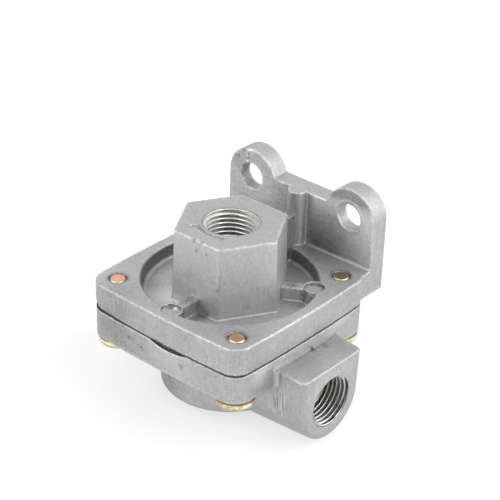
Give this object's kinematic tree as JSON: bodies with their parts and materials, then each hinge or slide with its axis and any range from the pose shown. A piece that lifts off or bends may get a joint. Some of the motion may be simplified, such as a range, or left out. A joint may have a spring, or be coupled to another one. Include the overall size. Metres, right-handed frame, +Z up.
{
  "type": "quick release valve",
  "caption": "Cast quick release valve: hexagonal threaded supply port on top, two threaded side ports, exhaust below, rubber diaphragm inside, and an upright two-hole mounting plate.",
  "frame": {"origin": "on the back face of the mounting plate, midway between the axes of its two holes", "axes": "+X along the line of the two delivery ports and of the two mounting holes, +Y out of the back of the mounting plate, +Z up along the valve axis, out of the supply port"},
  "size_m": [0.0798, 0.0677, 0.0634],
  "materials": {
    "cast_cover": "satin die casting",
    "cast_body": "satin die casting",
    "gasket_rubber": "matt black rubber",
    "diaphragm_rubber": "matt black rubber",
    "pressed_steel": "pressed steel",
    "spring_wire": "drawn spring wire",
    "screw_plating": "yellow zinc plate on steel"
  },
  "bodies": {
    "housing": {"cover": "cast_cover", "body": "cast_body", "cover_gasket": "gasket_rubber", "spring": "spring_wire", "cap_screw_1": "screw_plating", "cap_screw_2": "screw_plating", "cap_screw_3": "screw_plating", "cap_screw_4": "screw_plating"},
    "diaphragm": {"diaphragm": "diaphragm_rubber", "spring_seat": "pressed_steel"}
  },
  "joints": [
    {"name": "diaphragm_lift", "type": "slide", "parent": "housing", "child": "diaphragm", "axis": [0, 0, 1], "range_m": [0, 0.0018], "stiffness_N_per_m": 150, "springref_m": -0.002, "deforming": ["spring"]}
  ]
}
